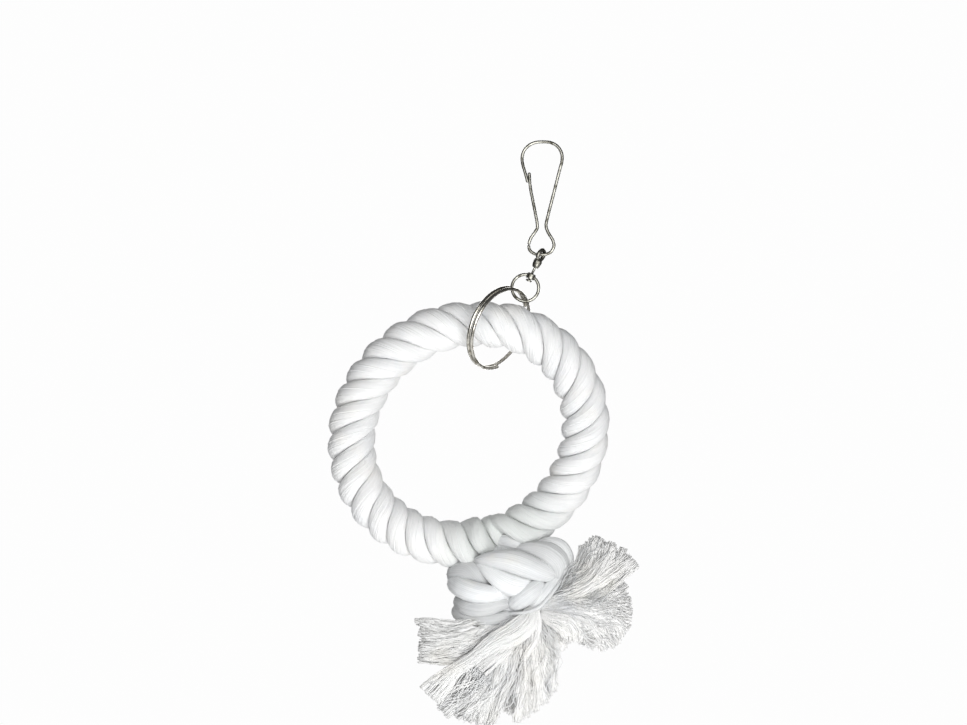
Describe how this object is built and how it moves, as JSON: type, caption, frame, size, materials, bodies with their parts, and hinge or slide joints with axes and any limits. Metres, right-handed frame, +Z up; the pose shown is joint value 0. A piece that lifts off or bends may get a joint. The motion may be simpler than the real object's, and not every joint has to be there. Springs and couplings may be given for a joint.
{
  "type": "rope bird swing",
  "caption": "Hanging perch for a pet bird: a ring of thick twisted cotton rope with a knot and frayed ends, on a split ring, swivel and sprung snap hook.",
  "frame": {"origin": "inside top of the hook's bow, where the cage bar bears", "axes": "+Z up, +X across the rope ring, -Y towards the front of the knot and tufts"},
  "size_m": [0.1308, 0.0405, 0.2534],
  "materials": {
    "cotton": "matte twisted cotton yarn",
    "nickel": "bright nickel-plated steel wire"
  },
  "bodies": {
    "hook": {"snap_hook": "nickel"},
    "gate": {"gate_arm": "nickel"},
    "swivel": {"swivel_eye": "nickel", "swivel_pin": "nickel"},
    "small_ring": {"swivel_ring": "nickel"},
    "split_ring": {"split_ring": "nickel"},
    "rope_ring": {"strand_1": "cotton", "strand_2": "cotton", "strand_3": "cotton", "core_wire": "nickel", "rope_end_left": "cotton", "rope_end_right": "cotton", "knot_turn_1": "cotton", "knot_turn_2": "cotton", "knot_turn_3": "cotton"},
    "left_tassel": {"tuft_left_1": "cotton", "tuft_left_2": "cotton", "tuft_left_3": "cotton"},
    "right_tassel": {"tuft_right_1": "cotton", "tuft_right_2": "cotton", "tuft_right_3": "cotton"}
  },
  "joints": [
    {"name": "gate_flex", "type": "hinge", "parent": "hook", "child": "gate", "pos_m": [-0.00245, 0, -0.0361], "axis": [0, 1, 0], "range_deg": [0, 18], "stiffness_Nm_per_rad": 0.005},
    {"name": "eye_swing", "type": "hinge", "parent": "hook", "child": "swivel", "pos_m": [-0.0009, 0, -0.0478], "axis": [1, 0, 0], "range_deg": [-80, 80]},
    {"name": "swivel_turn", "type": "hinge", "parent": "swivel", "child": "small_ring", "pos_m": [-0.0009, 0, -0.048], "axis": [-0.4305, 0, -0.9026], "continuous": true},
    {"name": "split_ring_swing", "type": "hinge", "parent": "small_ring", "child": "split_ring", "pos_m": [-0.01205, 0, -0.06574], "axis": [0.7071, 0, -0.7071], "range_deg": [-45, 45]},
    {"name": "rope_swing", "type": "hinge", "parent": "split_ring", "child": "rope_ring", "pos_m": [-0.01738, 0, -0.07791], "axis": [0.979, 0, -0.204], "range_deg": [-45, 45]},
    {"name": "left_tassel_flex", "type": "hinge", "parent": "rope_ring", "child": "left_tassel", "pos_m": [-0.00597, -0.0115, -0.2054], "axis": [0.7828, 0, -0.6222], "range_deg": [-10, 10], "stiffness_Nm_per_rad": 0.004},
    {"name": "right_tassel_flex", "type": "hinge", "parent": "rope_ring", "child": "right_tassel", "pos_m": [-0.00597, -0.0115, -0.2054], "axis": [0.0995, 0, 0.995], "range_deg": [-18, 18], "stiffness_Nm_per_rad": 0.004}
  ]
}
